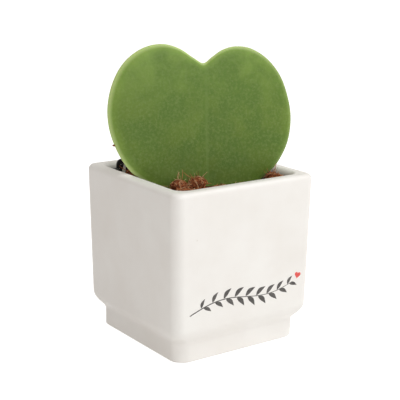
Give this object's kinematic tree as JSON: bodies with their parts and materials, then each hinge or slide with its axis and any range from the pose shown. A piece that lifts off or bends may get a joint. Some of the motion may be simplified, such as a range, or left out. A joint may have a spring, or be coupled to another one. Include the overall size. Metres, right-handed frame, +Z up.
{
  "type": "potted plant",
  "caption": "Heart-shaped hoya leaf rooted in coir, in a plastic grow pot that stands inside a square white ceramic pot with a stepped foot.",
  "frame": {"origin": "middle of the ceramic pot's flat underside, on the pot's vertical centre line", "axes": "+Z up; the pot's front face looks along -Y"},
  "size_m": [0.0857, 0.08, 0.1415],
  "materials": {
    "white_glaze": "satin",
    "black_plastic": "matte",
    "coir": "matte",
    "coir_fibre": "matte",
    "leaf": "satin",
    "stalk": "satin",
    "root": "matte",
    "label": "satin"
  },
  "bodies": {
    "root": {"ceramic_pot": "white_glaze", "grow_pot": "black_plastic", "potting_mix": "coir", "leaf_blade": "leaf", "leaf_stalk": "stalk", "plant_label": "label", "root_1": "root", "root_2": "root", "root_3": "root", "root_4": "root", "root_5": "root", "coir_clump_front_left": "coir_fibre", "coir_clump_front_middle": "coir_fibre", "coir_clump_front_corner": "coir_fibre", "coir_clump_front": "coir_fibre", "coir_clump_front_right": "coir_fibre", "coir_clump_right": "coir_fibre", "coir_clump_left": "coir_fibre", "coir_clump_rear_left": "coir_fibre", "coir_clump_rear": "coir_fibre", "coir_clump_rear_right": "coir_fibre"}
  },
  "joints": []
}
